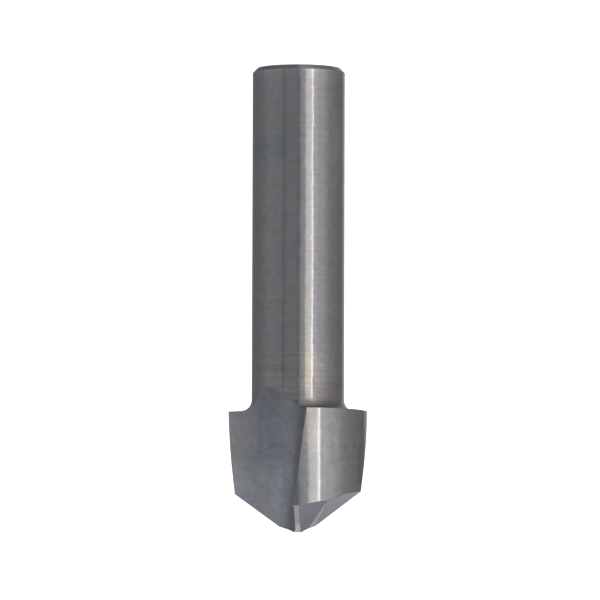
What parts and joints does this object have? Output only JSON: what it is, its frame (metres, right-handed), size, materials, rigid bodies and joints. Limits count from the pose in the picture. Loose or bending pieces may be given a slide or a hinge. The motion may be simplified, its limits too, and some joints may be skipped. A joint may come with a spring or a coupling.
{
  "type": "v groove router bit",
  "caption": "Solid tungsten carbide V groove router bit with a plain round shank, for cutting wide shallow V grooves and folds in board.",
  "frame": {"origin": "centre of the shank's end face, which the bit stands on", "axes": "+Z along the axis from the shank's end to the point; the first cutting edge faces -Y, and the other is half a turn round"},
  "size_m": [0.018, 0.018, 0.0604],
  "materials": {
    "carbide": "ground tungsten carbide, dark grey satin, with bluish and olive stains"
  },
  "bodies": {
    "root": {"router_bit": "carbide"}
  },
  "joints": []
}
